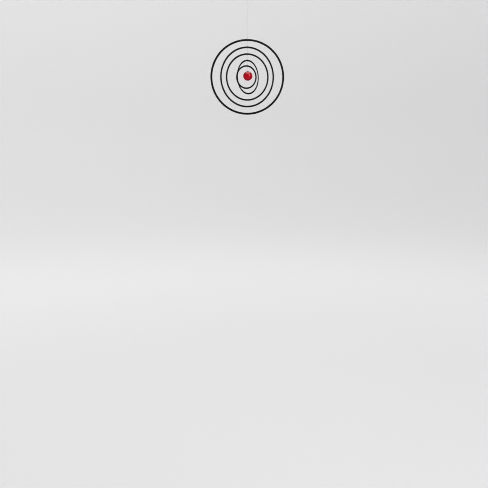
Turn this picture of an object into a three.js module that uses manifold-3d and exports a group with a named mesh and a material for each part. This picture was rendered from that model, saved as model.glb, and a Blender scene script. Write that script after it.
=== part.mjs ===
// Hanging mobile: five flat rings, each hung inside the next larger one on a short thread, and a
// ball hung in the middle. Millimetres, +Z up. A hook bears at the origin, inside the top of the
// hanging thread's eye, and every ring turns freely about the vertical line through it. The
// outer ring lies in the XZ plane. The others are turned as the air has left them.
import * as THREE from "three";
import { mergeVertices } from "three/addons/utils/BufferGeometryUtils.js";
import Module from "manifold-3d";

// Thread, with an eye knotted round the edge of each ring that it holds or hangs from
const threadDiameter = 0.3;
const threadClearance = 0.4; // round a thread in its hole, and between an eye and a ring
const knotDiameter = 1;
const knotHeight = 1.3;
const knotRise = 1.6; // from a ring's edge to the middle of the knot beyond it

// Hanging thread, which ends in a larger eye for a hook
const hangingDrop = 142; // from the hook to the top of the outer ring
const hookEyeDiameter = 8;
const hookEyeReach = 13; // from the top of the eye to the middle of its knot

// Rings, all cut from one sheet: the width of each, and the clear gap round each inner one
const sheetThickness = 0.6;
const outerWidth = 6.5;
const secondGap = 17;
const secondWidth = 5.7;
const thirdGap = 15.7;
const thirdWidth = 5.5;
const fourthGap = 14.85;
const fourthWidth = 5.2;
const innerGap = 12.2;
const innerWidth = 5.2;
const innerOpening = 65.6;

// Ball, with a short neck that the thread is fixed into
const ballDiameter = 30;
const ballRise = 3.5; // the ball's centre above the rings' centre
const neckDiameter = 3;
const neckHeight = 2;
const neckFillet = 1.2;
const neckLip = 0.4;
const boreDepth = 5;

// Pose at rest: how far each ring is turned from the outer one, seen from above
const secondTurnDegrees = 18.2;
const thirdTurnDegrees = 15.9;
const fourthTurnDegrees = 42.5;
const innerTurnDegrees = 21.1;
const fourthLeanDegrees = 2.2; // the fourth ring's load hangs at one face, so its foot swings out
// The ball hangs a little to one side of the inner ring's own thread, and balances the ring,
// whose centre hangs to the other side.
const ballAside = 1.25;
const innerRingAside = -3.7;

// Facets
const ringSides = 90;
const holeSides = 10;
const threadSides = 8;
const eyeSteps = 12;
const hookEyeSteps = 18;
const hangingSteps = 42;
const knotSides = 8;
const ballSides = 28;
const ballSteps = 12;

const threadRadius = threadDiameter / 2;
const holeRadius = threadRadius + threadClearance;
const eyeRadius = sheetThickness / 2 + threadClearance + threadRadius;
const X = new THREE.Vector3(1, 0, 0);
const Y = new THREE.Vector3(0, 1, 0);

const black = new THREE.MeshStandardMaterial({ color: 0x0b0b0c, roughness: 0.42, metalness: 0 });
const red = new THREE.MeshStandardMaterial({ color: 0xb00a1c, roughness: 0.15, metalness: 0 });
const nylon = new THREE.MeshStandardMaterial({ color: 0xb4b6b8, roughness: 0.3, metalness: 0 });

const wasm = await Module();
wasm.setup();

// A closed geometry as a solid that can be joined.
function solidOf(geometry) {
  const bare = geometry.clone();
  bare.deleteAttribute("normal");
  bare.deleteAttribute("uv");
  const merged = mergeVertices(bare, 1e-4);
  const triVerts = new Uint32Array(merged.index.array);
  const vertProperties = merged.attributes.position.array;
  return new wasm.Manifold(new wasm.Mesh({ numProp: 3, vertProperties, triVerts }));
}

// Closed geometries that run into each other, as one.
function joined(geometries) {
  const mesh = geometries
    .map(solidOf)
    .reduce((a, b) => a.add(b))
    .getMesh();
  const geometry = new THREE.BufferGeometry();
  geometry.setAttribute("position", new THREE.BufferAttribute(mesh.vertProperties, 3));
  geometry.setIndex(new THREE.BufferAttribute(mesh.triVerts, 1));
  geometry.computeVertexNormals();
  return geometry;
}

const radians = THREE.MathUtils.degToRad;

// The height of a circle's top over its centre, at a distance to the side of it.
function riseAt(radius, aside) {
  return Math.sqrt(radius ** 2 - aside ** 2);
}

// Rings from the outside in. Each is held by a hole near its outer edge, which is where its own
// frame starts, and carries the next thread in a hole near its inner edge.
const rings = [
  { name: "outer_ring", width: outerWidth, gap: secondGap },
  { name: "second_ring", width: secondWidth, gap: thirdGap, turn: secondTurnDegrees },
  { name: "third_ring", width: thirdWidth, gap: fourthGap, turn: thirdTurnDegrees },
  {
    name: "fourth_ring",
    width: fourthWidth,
    gap: innerGap,
    turn: fourthTurnDegrees,
    lean: fourthLeanDegrees,
  },
  {
    name: "inner_ring",
    width: innerWidth,
    turn: innerTurnDegrees,
    aside: innerRingAside,
    loadAside: ballAside,
  },
].map((ring) => ({ gap: 0, turn: 0, lean: 0, aside: 0, loadAside: 0, ...ring }));

rings.reduceRight((opening, ring) => {
  ring.innerRadius = opening + ring.gap;
  ring.outerRadius = ring.innerRadius + ring.width;
  ring.holeInset = ring.width / 4;
  return ring.outerRadius;
}, innerOpening / 2);

const ringsCentre = -hangingDrop - rings[0].outerRadius;

for (const ring of rings) {
  ring.centreDrop = riseAt(ring.outerRadius - ring.holeInset, ring.aside);
  ring.loadDrop =
    ring.centreDrop - riseAt(ring.innerRadius + ring.holeInset, ring.loadAside - ring.aside);
  ring.holdHeight = ringsCentre + ring.centreDrop * Math.cos(radians(ring.lean));
  ring.loadHeight = ring.holdHeight - ring.loadDrop;
}

function circleAt(x, y, radius, sides) {
  const points = [];
  for (let i = 0; i < sides; i++) {
    const angle = (2 * Math.PI * i) / sides;
    points.push(new THREE.Vector2(x + radius * Math.cos(angle), y + radius * Math.sin(angle)));
  }
  return points;
}

// A flat ring in the XZ plane, hanging from the hole at its origin.
function ringGeometry(ring) {
  const centre = [ring.aside, -ring.centreDrop];
  const shape = new THREE.Shape(circleAt(...centre, ring.outerRadius, ringSides));
  shape.holes = [
    new THREE.Path(circleAt(...centre, ring.innerRadius, ringSides)),
    new THREE.Path(circleAt(0, 0, holeRadius, holeSides)),
    new THREE.Path(circleAt(ring.loadAside, -ring.loadDrop, holeRadius, holeSides)),
  ];
  return new THREE.ExtrudeGeometry(shape, { depth: sheetThickness, bevelEnabled: false })
    .translate(0, 0, -sheetThickness / 2)
    .rotateX(Math.PI / 2);
}

const threadSection = new THREE.Shape(circleAt(0, 0, threadRadius, threadSides));

function tube(points, steps) {
  const extrudePath = new THREE.CatmullRomCurve3(points);
  return new THREE.ExtrudeGeometry(threadSection, { steps, extrudePath });
}

function stem(from, to, steps) {
  return tube([new THREE.Vector3(0, 0, from), new THREE.Vector3(0, 0, to)], steps);
}

// An eye of thread and its knot. The eye's round end is at the height "end", the middle of its
// knot at the height "knot", and the eye opens along the level direction "across".
function eye(end, knot, across, radius, steps) {
  const up = Math.sign(knot - end);
  const flank = Math.abs(knot - end) - radius;
  const side = [];
  const stops = 4;
  for (let i = 0; i <= stops; i++) {
    const angle = (Math.PI / 2) * (i / stops);
    side.push([radius * Math.sin(angle), radius * (1 - Math.cos(angle))]);
  }
  for (let i = 1; i <= stops; i++) {
    const share = i / stops;
    side.push([radius * (1 - share ** 2), radius + flank * share]);
  }
  const line = [...side.slice(1).map(([out, rise]) => [-out, rise]).reverse(), ...side];
  const points = line.map(([out, rise]) =>
    across.clone().multiplyScalar(out).setZ(end + up * rise),
  );
  const ball = new THREE.SphereGeometry(1, knotSides, knotSides - 2)
    .rotateX(Math.PI / 2)
    .scale(knotDiameter / 2, knotDiameter / 2, knotHeight / 2)
    .translate(0, 0, knot);
  return [tube(points, steps), ball];
}

function threadMesh(name, geometries) {
  const mesh = new THREE.Mesh(joined(geometries), nylon);
  mesh.name = name;
  return mesh;
}

// The distance from a ring's hole to the middle of the knot beyond its edge.
function knotReach(ring) {
  return ring.holeInset + knotRise;
}

// The thread that the whole mobile hangs on, from the hook to the outer ring.
function hangingThread(ring) {
  const hold = ring.holdHeight;
  const lowKnot = hold + knotReach(ring);
  const highKnot = threadRadius - hookEyeReach;
  return threadMesh("hanging_thread", [
    ...eye(hold, lowKnot, Y, eyeRadius, eyeSteps),
    stem(lowKnot, highKnot, hangingSteps),
    ...eye(threadRadius, highKnot, X, hookEyeDiameter / 2 + threadRadius, hookEyeSteps),
  ]);
}

// The thread between a ring and the next one in. Each eye opens along its own ring's axis.
function ringThread(upper, lower) {
  const highKnot = upper.loadHeight - knotReach(upper);
  const lowKnot = lower.holdHeight + knotReach(lower);
  const acrossUpper = Y.clone().applyAxisAngle(new THREE.Vector3(0, 0, 1), radians(upper.turn));
  const acrossLower = Y.clone().applyAxisAngle(new THREE.Vector3(0, 0, 1), radians(lower.turn));
  return threadMesh(lower.name + "_thread", [
    ...eye(upper.loadHeight, highKnot, acrossUpper, eyeRadius, eyeSteps),
    stem(lowKnot, highKnot, 1),
    ...eye(lower.holdHeight, lowKnot, acrossLower, eyeRadius, eyeSteps),
  ]);
}

const ballHeight = ringsCentre + ballRise;
const neckTop = ballHeight + ballDiameter / 2 + neckHeight;

// The thread from the inner ring down into the ball's neck, in that ring's own direction.
function ballThread(ring) {
  const knot = ring.loadHeight - knotReach(ring);
  const foot = neckTop - boreDepth + threadClearance;
  const mesh = threadMesh("ball_thread", [
    ...eye(ring.loadHeight, knot, Y, eyeRadius, eyeSteps),
    stem(foot, knot, 1),
  ]);
  mesh.position.x = ring.loadAside;
  return mesh;
}

// The ball turned in one piece with its neck, and a blind bore down the neck for the thread.
function ballGeometry() {
  const radius = ballDiameter / 2;
  const neck = neckDiameter / 2;
  const top = radius + neckHeight;
  const shoulder = Math.acos((neck + neckFillet) / radius);
  const fillet = new THREE.QuadraticBezierCurve(
    new THREE.Vector2(neck + neckFillet, radius * Math.sin(shoulder)),
    new THREE.Vector2(neck, riseAt(radius, neck)),
    new THREE.Vector2(neck, Math.min(radius + neckFillet, top - neckLip)),
  );
  const lip = new THREE.QuadraticBezierCurve(
    new THREE.Vector2(neck, top - neckLip),
    new THREE.Vector2(neck, top),
    new THREE.Vector2(neck - neckLip, top),
  );
  const profile = [];
  for (let i = 0; i < ballSteps; i++) {
    const angle = -Math.PI / 2 + (shoulder + Math.PI / 2) * (i / ballSteps);
    profile.push(new THREE.Vector2(radius * Math.cos(angle), radius * Math.sin(angle)));
  }
  profile[0].x = 0;
  profile.push(
    ...fillet.getPoints(3),
    ...lip.getPoints(2),
    new THREE.Vector2(holeRadius, top),
    new THREE.Vector2(holeRadius, top - boreDepth),
    new THREE.Vector2(0, top - boreDepth),
  );
  return new THREE.LatheGeometry(profile, ballSides).rotateX(Math.PI / 2);
}

const mobile = new THREE.Group();
mobile.add(hangingThread(rings[0]));

rings.forEach((ring, i) => {
  const mesh = new THREE.Mesh(ringGeometry(ring), black);
  mesh.name = ring.name;
  mesh.rotation.x = -radians(ring.lean);
  mesh.position.z = ring.holdHeight;
  const turned = new THREE.Group();
  turned.rotation.z = radians(ring.turn);
  turned.add(mesh);
  mobile.add(turned);
  if (i > 0) mobile.add(ringThread(rings[i - 1], ring));
  if (i === rings.length - 1) {
    const ball = new THREE.Mesh(ballGeometry(), red);
    ball.name = "ball";
    ball.position.set(ring.loadAside, 0, ballHeight);
    turned.add(ball, ballThread(ring));
  }
});

export default mobile;
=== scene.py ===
"""Hanging mobile: five flat black rings, each hung inside the next larger one on a short thread,
and a glossy red ball hung in the middle. Metres, +Z up. A hook bears at the origin, and every ring
turns freely about the vertical line below it."""
import math

import bmesh
import bpy
import numpy as np
from mathutils import Matrix, Vector


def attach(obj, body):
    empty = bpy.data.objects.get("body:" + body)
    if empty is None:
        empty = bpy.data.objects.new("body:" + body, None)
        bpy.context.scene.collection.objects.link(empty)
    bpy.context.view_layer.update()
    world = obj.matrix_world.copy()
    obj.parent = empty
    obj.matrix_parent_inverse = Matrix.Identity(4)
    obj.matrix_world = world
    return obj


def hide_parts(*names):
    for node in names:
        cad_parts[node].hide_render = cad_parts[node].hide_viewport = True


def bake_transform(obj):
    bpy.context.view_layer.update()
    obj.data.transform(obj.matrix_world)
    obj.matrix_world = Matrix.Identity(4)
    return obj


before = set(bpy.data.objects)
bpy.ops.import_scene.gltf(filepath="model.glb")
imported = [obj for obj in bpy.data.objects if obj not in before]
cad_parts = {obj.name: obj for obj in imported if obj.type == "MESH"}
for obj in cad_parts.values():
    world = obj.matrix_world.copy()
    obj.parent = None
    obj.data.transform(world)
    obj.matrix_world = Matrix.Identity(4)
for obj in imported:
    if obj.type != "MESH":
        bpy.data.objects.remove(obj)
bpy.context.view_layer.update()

MM = 0.001
UP = Vector((0, 0, 1))
SAME_POINT_DIGITS = 8  # corners that agree to this many decimals of a metre are one
MERGE_DISTANCE = 1e-9

# Rings from the outside in: each one's node, and the body that it rides on
RINGS = [
    ("outer_ring", "outer"),
    ("second_ring", "second"),
    ("third_ring", "third"),
    ("fourth_ring", "fourth"),
    ("inner_ring", "inner"),
]
RING_SEGMENTS = 360
EDGE_RADIUS = 0.14 * MM  # the painted sheet's edges
EDGE_STEPS = 3
HOLE_RADIUS = 0.3 * MM
HOLE_CHAMFER = 0.08 * MM
HOLE_SEGMENTS = 32
DRILL_PAST = 0.05 * MM  # how far the drill stands out of the sheet
RIM_SHARE = 0.001  # corners nearer to a rim than this share of its radius are on the rim
TOUCHING = 0.01 * MM  # left between a thread and what it bears on
SHARP_DEGREES = 40

# Thread: nylon monofilament, with an eye at each end closed by turns of the thread round itself
THREAD_RADIUS = 0.15 * MM
THREAD_SIDES = 12
EYE_RADIUS = 0.85 * MM
KNOT_RISE = 1.6 * MM  # from a ring's edge to the middle of the knot beyond it
KNOT_TURNS = 4
TURN_STEPS = 14
COIL_RADIUS = 2.08 * THREAD_RADIUS
COIL_PITCH = 2.06 * THREAD_RADIUS
TAIL_LENGTH = 1.3 * MM
TAIL_SHARES = (1, 0.66, 0.33)  # points on the tail, from its tip
TAIL_CURL = 0.35
HOOK_EYE_RADIUS = 4.15 * MM
HOOK_EYE_REACH = 13 * MM  # from the top of the eye to the middle of its knot
THREAD_STEP = 0.4 * MM  # short steps, because the threads twist
EYE_STEP = 0.16 * MM
EYE_STOPS = 6  # in each flank and each quarter turn of an eye

# Ball, turned in one piece with a short neck that the thread is fixed into
BALL_SEGMENTS = 128
BALL_STEPS = 80
NECK_RADIUS = 1.5 * MM
NECK_HEIGHT = 2 * MM
NECK_FILLET = 1.2 * MM
FILLET_STEPS = 10
NECK_LIP = 0.4 * MM
LIP_STEPS = 5
BORE_RADIUS = 0.3 * MM
BORE_DEPTH = 5 * MM

# Camera: where it stands, and where it sees the rings' centre in the picture
PICTURE = 488
PIXEL_FILTER = 1.0  # pixels, as sharp as the photograph
LENS_MM = 65
SENSOR_MM = 36
SIGHT = 50  # how far the camera sees
CAMERA_AZIMUTH = math.radians(-7.6)
CAMERA_PITCH = math.radians(9.746)
CAMERA_DEPTH = 2.855
CENTRE_PIXEL = (247.45, 77.12)

# Finishes: their patches take the middle of the noise, and leave its rare ends flat
PATCH_RANGE = (0.3, 0.7)
PATCH_DETAIL = 4
GRAIN_DETAIL = 3

# Stage: a floor that sweeps up into a wall. It glows faintly, by the distance from the origin,
# so that the light looks even to the foot of the wall, and less for each metre to the right
FLOOR_HEIGHT = -1.54
FLOOR_RADIUS = 4.6
SWEEP_RADIUS = 2.4
WALL_TOP = 3.2
STAGE_SEGMENTS = 96
SWEEP_STEPS = 24
GLOW_REACH = 8  # farther than any part of the stage
GLOWS = {1.5: 0.285, 3.4: 0.47, 6.4: 0.37, 7.1: 0.355}  # strength by metres from the origin
GLOW_ACROSS = -0.009
WORLD_GLOW = 0.04


def corners_of(node):
    """A node's corners, each once."""
    points = np.array([v.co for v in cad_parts[node].data.vertices])
    return np.unique(np.round(points, SAME_POINT_DIGITS), axis=0)


class Ring:
    """A flat ring's own frame (across and up in its plane, normal along its axis), its sizes, and
    the two holes in it: hold, by which it hangs, and load, from which the next thing hangs."""

    def __init__(self, node):
        points = corners_of(node)
        spread = np.linalg.svd(points - points.mean(0), full_matrices=False)[2]
        self.normal = Vector(spread[2] * np.sign(spread[2][1]))
        self.across = self.normal.cross(UP).normalized()
        self.up = self.across.cross(self.normal)
        flat = np.stack([points @ np.array(self.across), points @ np.array(self.up)], axis=1)
        middle = (flat.min(0) + flat.max(0)) / 2
        depth = points @ np.array(self.normal)
        self.thickness = float(np.ptp(depth))
        mid_depth = float(depth.min() + depth.max()) / 2
        self.centre = self.across * middle[0] + self.up * middle[1] + self.normal * mid_depth
        self.matrix = Matrix((self.across, self.normal, self.up)).transposed().to_4x4()
        self.matrix.translation = self.centre
        away = np.linalg.norm(flat - middle, axis=1)
        self.outer, self.inner = float(away.max()), float(away.min())
        inside = (away > self.inner * (1 + RIM_SHARE)) & (away < self.outer * (1 - RIM_SHARE))
        near_edge = away > (self.outer + self.inner) / 2
        self.hold = self.place(flat[inside & near_edge].mean(0) - middle)
        self.load = self.place(flat[inside & ~near_edge].mean(0) - middle)

    def place(self, flat):
        return self.centre + self.across * float(flat[0]) + self.up * float(flat[1])

    def knot_reach(self, hole):
        """From a hole to the middle of the knot beyond the ring's edge."""
        from_centre = (hole - self.centre).length
        inset = min(self.outer - from_centre, from_centre - self.inner)
        return inset + KNOT_RISE


rings = [Ring(node) for node, _ in RINGS]
outer, inner = rings[0], rings[-1]


def make_camera():
    """The camera sees the rings' centre at its pixel, at its depth along the view."""
    data = bpy.data.cameras.new("camera")
    data.lens = LENS_MM
    data.sensor_width = SENSOR_MM
    data.clip_end = SIGHT
    camera = bpy.data.objects.new("camera", data)
    bpy.context.scene.collection.objects.link(camera)
    tilt = Matrix.Rotation(math.pi / 2 - CAMERA_PITCH, 3, "X")
    turn = Matrix.Rotation(CAMERA_AZIMUTH, 3, "Z") @ tilt
    focal = LENS_MM / SENSOR_MM * PICTURE
    column, row = CENTRE_PIXEL
    ray = turn @ Vector(((column - PICTURE / 2) / focal, (PICTURE / 2 - row) / focal, -1))
    place = outer.centre - ray * CAMERA_DEPTH
    camera.matrix_world = Matrix.Translation(place) @ turn.to_4x4()
    bpy.context.scene.camera = camera


make_camera()


def linked(name, mesh, material):
    obj = bpy.data.objects.new(name, mesh)
    bpy.context.scene.collection.objects.link(obj)
    mesh.materials.append(material)
    return obj


def shade(mesh):
    """Smooth faces, with sharp edges where the surface turns a corner."""
    bm = bmesh.new()
    bm.from_mesh(mesh)
    bmesh.ops.recalc_face_normals(bm, faces=bm.faces)
    for face in bm.faces:
        face.smooth = True
    for edge in bm.edges:
        if len(edge.link_faces) == 2:
            edge.smooth = edge.calc_face_angle() < math.radians(SHARP_DEGREES)
    bm.to_mesh(mesh)
    bm.free()


def new_material(name, **plain):
    """A material, its nodes and links, and its shader. The rest are plain values of the shader's
    sockets, with _ for each space in a socket's name."""
    material = bpy.data.materials.new(name)
    material.use_nodes = True
    nodes, links = material.node_tree.nodes, material.node_tree.links
    shader = nodes["Principled BSDF"]
    for socket, value in plain.items():
        shader.inputs[socket.replace("_", " ")].default_value = value
    return material, nodes, links, shader


def noise(nodes, links, size, detail):
    coordinates = nodes.new("ShaderNodeTexCoord")
    texture = nodes.new("ShaderNodeTexNoise")
    texture.inputs["Scale"].default_value = 1 / size
    texture.inputs["Detail"].default_value = detail
    links.new(coordinates.outputs["Object"], texture.inputs["Vector"])
    return texture.outputs["Fac"]


def finish_material(name, low, high, patch, rough, grain, depth, **plain):
    """A finish whose colour goes from low to high and whose roughness over the range rough, in
    patches of a size, with a fine grain of a size and depth. The rest are plain values."""
    material, nodes, links, shader = new_material(name, **plain)
    patches = noise(nodes, links, patch, PATCH_DETAIL)
    ramp = nodes.new("ShaderNodeValToRGB")
    for stop, position, colour in zip(ramp.color_ramp.elements, PATCH_RANGE, (low, high)):
        stop.position, stop.color = position, (*colour, 1)
    links.new(patches, ramp.inputs["Fac"])
    links.new(ramp.outputs["Color"], shader.inputs["Base Color"])
    spread = nodes.new("ShaderNodeMapRange")
    for end, share, value in zip(("Min", "Max"), PATCH_RANGE, rough):
        spread.inputs["From " + end].default_value = share
        spread.inputs["To " + end].default_value = value
    links.new(patches, spread.inputs["Value"])
    links.new(spread.outputs["Result"], shader.inputs["Roughness"])
    bump = nodes.new("ShaderNodeBump")
    bump.inputs["Strength"].default_value = 1
    bump.inputs["Distance"].default_value = depth
    links.new(noise(nodes, links, grain, GRAIN_DETAIL), bump.inputs["Height"])
    links.new(bump.outputs["Normal"], shader.inputs["Normal"])
    return material


satin_black = finish_material(
    "satin_black_paint",
    low=(0.003, 0.003, 0.0033),
    high=(0.0052, 0.0052, 0.0058),
    patch=14 * MM,
    rough=(0.5, 0.6),
    grain=0.35 * MM,
    depth=0.004 * MM,
    Specular_IOR_Level=0.3,
)
gloss_red = finish_material(
    "gloss_red",
    low=(0.45, 0.0010, 0.008),
    high=(0.48, 0.0018, 0.011),
    patch=9 * MM,
    rough=(0.10, 0.16),
    grain=1.6 * MM,
    depth=0.006 * MM,
    Coat_Weight=1.0,
    Coat_Roughness=0.03,
)
clear_nylon = finish_material(
    "clear_grey_nylon",
    low=(0.22, 0.225, 0.23),
    high=(0.3, 0.305, 0.31),
    patch=3 * MM,
    rough=(0.16, 0.28),
    grain=0.5 * MM,
    depth=0.002 * MM,
    IOR=1.53,
    Transmission_Weight=0.35,
)


def smooth_line(points, step):
    """Points about step apart on a smooth curve through the given ones (centripetal)."""
    ends = [points[0] * 2 - points[1], *points, points[-1] * 2 - points[-2]]
    line = [points[0]]
    for a, b, c, d in zip(ends, ends[1:], ends[2:], ends[3:]):
        t1 = (b - a).length ** 0.5
        t2 = t1 + (c - b).length ** 0.5
        t3 = t2 + (d - c).length ** 0.5
        count = max(1, math.ceil((c - b).length / step))
        for i in range(1, count + 1):
            t = t1 + (t2 - t1) * i / count
            ab = a * ((t1 - t) / t1) + b * (t / t1)
            bc = b * ((t2 - t) / (t2 - t1)) + c * ((t - t1) / (t2 - t1))
            cd = c * ((t3 - t) / (t3 - t2)) + d * ((t - t2) / (t3 - t2))
            abc = ab * ((t2 - t) / t2) + bc * (t / t2)
            bcd = bc * ((t3 - t) / (t3 - t1)) + cd * ((t - t1) / (t3 - t1))
            line.append(abc * ((t2 - t) / (t2 - t1)) + bcd * ((t - t1) / (t2 - t1)))
    return line


def tube(name, line):
    """A closed round thread along a line, with its section carried along without twist."""
    directions = [(b - a).normalized() for a, b in zip(line, line[1:])]
    tangents = [directions[0]]
    tangents += [(a + b).normalized() for a, b in zip(directions, directions[1:])]
    tangents.append(directions[-1])
    side = tangents[0].orthogonal().normalized()
    points = []
    for place, tangent in zip(line, tangents):
        side = (side - tangent * side.dot(tangent)).normalized()
        other = tangent.cross(side)
        for i in range(THREAD_SIDES):
            angle = 2 * math.pi * i / THREAD_SIDES
            outward = side * math.cos(angle) + other * math.sin(angle)
            points.append(place + outward * THREAD_RADIUS)
    faces = []
    for k in range(len(line) - 1):
        for i in range(THREAD_SIDES):
            j = (i + 1) % THREAD_SIDES
            low, high = k * THREAD_SIDES, (k + 1) * THREAD_SIDES
            faces.append((low + i, low + j, high + j, high + i))
    last = len(points) - THREAD_SIDES
    faces.append(tuple(range(THREAD_SIDES))[::-1])
    faces.append(tuple(range(last, last + THREAD_SIDES)))
    mesh = bpy.data.meshes.new(name)
    mesh.from_pydata(points, [], faces)
    shade(mesh)
    return linked(name, mesh, clear_nylon)


def eye_and_knot(end, knot, across, radius):
    """The lines of an eye and of the turns that close it, from the tail inwards. The eye's round
    end is the point end, and the middle of its knot the point knot."""
    along = (knot - end).normalized()
    beside = along.cross(across)
    half = KNOT_TURNS * COIL_PITCH / 2
    mouth = (knot - end).length - half
    turns = []
    for i in range(KNOT_TURNS * TURN_STEPS + 1):
        angle = 2 * math.pi * i / TURN_STEPS
        turns.append(
            knot
            + along * (COIL_PITCH * i / TURN_STEPS - half)
            + (across * math.cos(angle) + beside * math.sin(angle)) * COIL_RADIUS
        )
    tail = [
        turns[-1] + (beside * share + (across + along) * share**2 * TAIL_CURL) * TAIL_LENGTH
        for share in TAIL_SHARES
    ]
    knot_line = tail + turns[::-1]
    bend = [math.pi / 2 * (1 - i / EYE_STOPS) for i in range(EYE_STOPS + 1)]
    right = [(radius * math.sin(a), radius * (1 - math.cos(a))) for a in bend]
    flank = [i / EYE_STOPS for i in range(EYE_STOPS, 0, -1)]

    def leg(foot):
        rise = mouth - radius
        return [(foot + (radius - foot) * (1 - s**2), radius + rise * s) for s in flank]

    outline = leg(COIL_RADIUS)[1:] + right
    outline += [(-out, height) for out, height in (leg(0) + right[:-1])[::-1]]
    eye_line = [end + across * out + along * height for out, height in outline]
    return knot_line, eye_line, knot + along * half


def thread(name, low, high=None, foot=None):
    """A thread in one line between two eyes, or from an eye up or down to its foot. Each eye is
    (end, knot, across, radius). Returns the piece, its line without the knots' turns, and where
    its standing part starts and ends."""
    low_knot, low_eye, low_top = eye_and_knot(*low)
    knot_line = smooth_line(low_knot, EYE_STEP)
    if high is None:
        eye_line = smooth_line(low_eye + [low_top], EYE_STEP)
        stem = smooth_line([low_top, foot], THREAD_STEP)[1:]
        return tube(name, knot_line + eye_line + stem), eye_line + stem, (low_top, foot)
    high_knot, high_eye, high_top = eye_and_knot(*high)
    first = smooth_line(low_eye + [low_top], EYE_STEP)
    last = smooth_line(high_eye + [high_top], EYE_STEP)[::-1]
    stem = smooth_line([low_top, high_top], THREAD_STEP)[1:-1]
    line = first + stem + last
    high_line = smooth_line(high_knot, EYE_STEP)[::-1]
    return tube(name, knot_line + line + high_line), line, (low_top, high_top)


def on_axis(height):
    return Vector((0, 0, height))


def ring_eye(ring, hole, toward):
    """An eye through a ring's hole, with its knot above or below the ring's edge."""
    end = on_axis(hole.z)
    level = Vector((ring.normal.x, ring.normal.y, 0)).normalized()
    return end, end + UP * toward * ring.knot_reach(hole), level, EYE_RADIUS


def hanging_thread():
    """The thread from the outer ring up to the hook."""
    hook_end = on_axis(THREAD_RADIUS)
    hook_eye = (hook_end, hook_end - UP * HOOK_EYE_REACH, Vector((1, 0, 0)), HOOK_EYE_RADIUS)
    low_eye = ring_eye(outer, outer.hold, 1)
    piece, line, (low, high) = thread("hanging_line", low_eye, hook_eye)
    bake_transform(piece)
    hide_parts("hanging_thread")


def ring_threads():
    """The threads that hang each ring inside the next larger one."""
    pairs = zip(RINGS, RINGS[1:], rings, rings[1:])
    for (_, upper_body), (lower, lower_body), above, below in pairs:
        low_eye, high_eye = ring_eye(below, below.hold, 1), ring_eye(above, above.load, -1)
        piece, _, (low, high) = thread(lower.replace("_ring", "_line"), low_eye, high_eye)
        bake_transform(piece)
        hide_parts(lower + "_thread")


hanging_thread()
ring_threads()


def rounded_section(ring):
    """The ring's section: distance out from its centre, and distance along its axis."""
    middle = (ring.outer + ring.inner) / 2
    reach = (ring.outer - ring.inner) / 2 - EDGE_RADIUS
    rise = ring.thickness / 2 - EDGE_RADIUS
    section = []
    for corner, (out, along) in enumerate(((1, 1), (-1, 1), (-1, -1), (1, -1))):
        for i in range(EDGE_STEPS + 1):
            angle = math.pi / 2 * (corner + i / EDGE_STEPS)
            section.append(
                (
                    middle + out * reach + EDGE_RADIUS * math.cos(angle),
                    along * rise + EDGE_RADIUS * math.sin(angle),
                )
            )
    return section


def revolved(name, section, segments, closed=True):
    """A section (out, along) turned about the Z axis. An open one starts and ends on it. The
    columns stand half a step off the axes, so that no edge runs through a hole's middle."""
    bm = bmesh.new()
    columns = []
    for k in range(segments):
        angle = 2 * math.pi * (k + 0.5) / segments
        x, y = math.cos(angle), math.sin(angle)
        columns.append([bm.verts.new((out * x, out * y, along)) for out, along in section])
    count = len(section)
    for k in range(segments):
        here, there = columns[k], columns[(k + 1) % segments]
        for i in range(count if closed else count - 1):
            j = (i + 1) % count
            bm.faces.new((here[i], here[j], there[j], there[i]))
    bmesh.ops.remove_doubles(bm, verts=bm.verts, dist=MERGE_DISTANCE)
    bmesh.ops.dissolve_degenerate(bm, dist=MERGE_DISTANCE, edges=bm.edges)
    bmesh.ops.recalc_face_normals(bm, faces=bm.faces)
    mesh = bpy.data.meshes.new(name)
    bm.to_mesh(mesh)
    bm.free()
    return mesh


def hole_cutter(half_thick):
    """A drill for a hole with slightly eased edges, along the Z axis."""
    wide, end = HOLE_RADIUS + HOLE_CHAMFER + DRILL_PAST, half_thick + DRILL_PAST
    section = [
        (0, -end),
        (wide, -end),
        (HOLE_RADIUS, -half_thick + HOLE_CHAMFER),
        (HOLE_RADIUS, half_thick - HOLE_CHAMFER),
        (wide, end),
        (0, end),
    ]
    return revolved("drill", section, HOLE_SEGMENTS, closed=False)


def painted_ring(node, body, ring):
    """A flat ring revolved round its own axis, with the two holes drilled, set in its place."""
    name = node + "_sheet"
    turned = revolved(name, rounded_section(ring), RING_SEGMENTS)
    into_plane = Matrix.Rotation(-math.pi / 2, 4, "X")
    turned.transform(into_plane)
    piece = linked(name, turned, satin_black)
    to_own = ring.matrix.inverted()
    slack = HOLE_RADIUS - THREAD_RADIUS - TOUCHING
    for hole, toward in ((ring.hold, -1), (ring.load, 1)):
        # the hole's edge bears on the thread, so its middle lies past the thread's
        drill = bpy.data.objects.new("drill", hole_cutter(ring.thickness / 2))
        bpy.context.scene.collection.objects.link(drill)
        place = to_own @ hole + Vector((0, 0, toward * slack))
        drill.matrix_world = Matrix.Translation(place) @ into_plane
        cut = piece.modifiers.new("hole", "BOOLEAN")
        cut.operation, cut.solver, cut.object = "DIFFERENCE", "EXACT", drill
    bpy.context.view_layer.update()
    drilled = piece.evaluated_get(bpy.context.evaluated_depsgraph_get())
    shaped = bpy.data.meshes.new_from_object(drilled)
    for cut in list(piece.modifiers):
        drill = cut.object
        piece.modifiers.remove(cut)
        bpy.data.objects.remove(drill)
    shaped.transform(ring.matrix)
    shade(shaped)
    piece.data = shaped
    even = piece.modifiers.new("flat_faces_stay_flat", "WEIGHTED_NORMAL")
    even.keep_sharp = True
    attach(piece, body)
    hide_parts(node)


for (node, body), ring in zip(RINGS, rings):
    painted_ring(node, body, ring)


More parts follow.
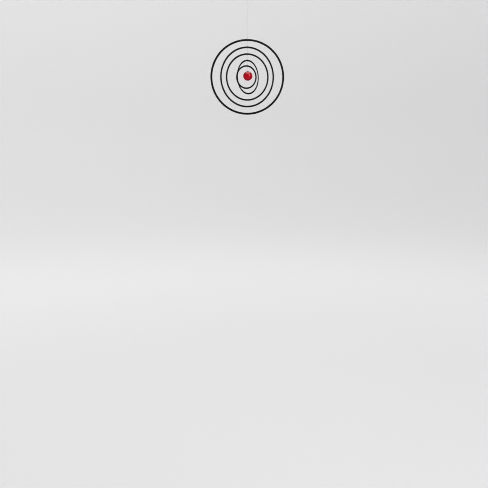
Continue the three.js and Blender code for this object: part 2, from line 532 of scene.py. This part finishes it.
def curve_through(a, b, c, count):
    """Points on the quadratic curve from a to c that leaves a and reaches c toward b."""
    return [
        tuple((1 - t) ** 2 * p + 2 * t * (1 - t) * q + t**2 * r for p, q, r in zip(a, b, c))
        for t in (i / count for i in range(1, count + 1))
    ]


def ball_section(radius):
    """The ball and its neck from the bottom round to the bore's floor, about the ball's centre."""
    top = radius + NECK_HEIGHT
    foot = NECK_RADIUS + NECK_FILLET
    shoulder = math.acos(foot / radius)
    section = []
    for i in range(BALL_STEPS + 1):
        angle = -math.pi / 2 + (shoulder + math.pi / 2) * i / BALL_STEPS
        section.append((radius * math.cos(angle), radius * math.sin(angle)))
    section[0] = (0, -radius)
    neck_start = min(radius + NECK_FILLET, top - NECK_LIP)
    corner = (NECK_RADIUS, math.sqrt(radius**2 - NECK_RADIUS**2))
    section += curve_through(section[-1], corner, (NECK_RADIUS, neck_start), FILLET_STEPS)
    if neck_start < top - NECK_LIP:
        section.append((NECK_RADIUS, top - NECK_LIP))
    rim = (NECK_RADIUS - NECK_LIP, top)
    section += curve_through(section[-1], (NECK_RADIUS, top), rim, LIP_STEPS)
    section += [(BORE_RADIUS + HOLE_CHAMFER, top), (BORE_RADIUS, top - HOLE_CHAMFER)]
    return section + [(BORE_RADIUS, top - BORE_DEPTH), (0, top - BORE_DEPTH)]


def hung_ball():
    """The ball, and its thread from the inner ring's load hole down into the neck."""
    points = corners_of("ball")
    foot = points[points[:, 2].argmin()]
    radius = float(np.linalg.norm(points[:, :2] - foot[:2], axis=1).max())
    centre = Vector((foot[0], foot[1], foot[2] + radius))
    mesh = revolved("ball_gloss", ball_section(radius), BALL_SEGMENTS, closed=False)
    mesh.transform(Matrix.Translation(centre))
    shade(mesh)
    ball = linked("ball_gloss", mesh, gloss_red)
    hole = inner.load
    end = Vector((centre.x, centre.y, hole.z))
    eye = (end, end - UP * inner.knot_reach(hole), inner.normal, EYE_RADIUS)
    bottom = centre + UP * (radius + NECK_HEIGHT - BORE_DEPTH + TOUCHING)
    ball_thread, _, _ = thread("ball_line", eye, foot=bottom)
    for piece, node, slot in ((ball, "ball", "ball"), (ball_thread, "ball_thread", "thread")):
        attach(piece, "inner")
        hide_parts(node)


hung_ball()


def stage_material():
    """Matt and pale. Its glow goes by the distance from the origin and by the place across."""
    material, nodes, links, shader = new_material(
        "pale_floor",
        Base_Color=(0.78, 0.78, 0.78, 1),
        Roughness=0.9,
        Specular_IOR_Level=0.1,
        Emission_Color=(1, 1, 1, 1),
    )
    place = nodes.new("ShaderNodeTexCoord").outputs["Object"]
    distance, share = nodes.new("ShaderNodeVectorMath"), nodes.new("ShaderNodeMath")
    distance.operation, share.operation = "LENGTH", "DIVIDE"
    links.new(place, distance.inputs[0])
    links.new(distance.outputs["Value"], share.inputs[0])
    share.inputs[1].default_value = GLOW_REACH
    by_distance = nodes.new("ShaderNodeValToRGB")
    links.new(share.outputs["Value"], by_distance.inputs["Fac"])
    ramp = by_distance.color_ramp
    ramp.interpolation = "CARDINAL"
    for _ in range(len(GLOWS) - len(ramp.elements)):
        ramp.elements.new(0.5)
    for stop, (metres, glow) in zip(ramp.elements, GLOWS.items()):
        stop.position, stop.color = metres / GLOW_REACH, (glow, glow, glow, 1)
    across, total = nodes.new("ShaderNodeSeparateXYZ"), nodes.new("ShaderNodeMath")
    total.operation = "MULTIPLY_ADD"
    links.new(place, across.inputs[0])
    links.new(across.outputs["X"], total.inputs[0])
    total.inputs[1].default_value = GLOW_ACROSS
    links.new(by_distance.outputs["Color"], total.inputs[2])
    links.new(total.outputs["Value"], shader.inputs["Emission Strength"])
    return material


def make_stage():
    """A pale floor that sweeps up all round into a wall, so that no horizon shows."""
    section = [(0, FLOOR_HEIGHT), (FLOOR_RADIUS / 2, FLOOR_HEIGHT)]
    for i in range(SWEEP_STEPS + 1):
        angle = math.pi / 2 * i / SWEEP_STEPS
        out, up = SWEEP_RADIUS * math.sin(angle), SWEEP_RADIUS * (1 - math.cos(angle))
        section.append((FLOOR_RADIUS + out, FLOOR_HEIGHT + up))
    section.append((FLOOR_RADIUS + SWEEP_RADIUS, WALL_TOP))
    mesh = revolved("floor", section, STAGE_SEGMENTS, closed=False)
    for face in mesh.polygons:
        face.use_smooth = True
    floor = linked("floor", mesh, stage_material())
    floor.visible_glossy = False


def softbox(name, place, size, watts, spread=180, mirrored=True):
    """A square area light facing the rings' centre. Its spread in degrees keeps its light near
    its axis, and one that isn't mirrored shows in no gloss."""
    data = bpy.data.lights.new(name, "AREA")
    data.shape, data.size = "SQUARE", size
    data.energy = watts
    data.spread = math.radians(spread)
    light = bpy.data.objects.new(name, data)
    bpy.context.scene.collection.objects.link(light)
    light.location = outer.centre + Vector(place)
    light.rotation_mode = "QUATERNION"
    light.rotation_quaternion = Vector(place).to_track_quat("Z", "Y")
    light.visible_camera = False
    light.visible_glossy = mirrored


def light_scene():
    softbox("overhead", place=(0, 0.3, 2.2), size=3.0, watts=40)
    softbox("key", place=(1.38, -2.08, 1.0), size=1.0, watts=16)
    softbox("fill", place=(0.4, -3.0, 0.7), size=1.6, watts=4, spread=60, mirrored=False)
    world = bpy.data.worlds.new("studio")
    world.use_nodes = True
    background = world.node_tree.nodes["Background"]
    background.inputs["Color"].default_value = (1, 1, 1, 1)
    background.inputs["Strength"].default_value = WORLD_GLOW
    bpy.context.scene.world = world
    bpy.context.scene.view_settings.view_transform = "Standard"
    bpy.context.scene.cycles.filter_width = PIXEL_FILTER


make_stage()
light_scene()
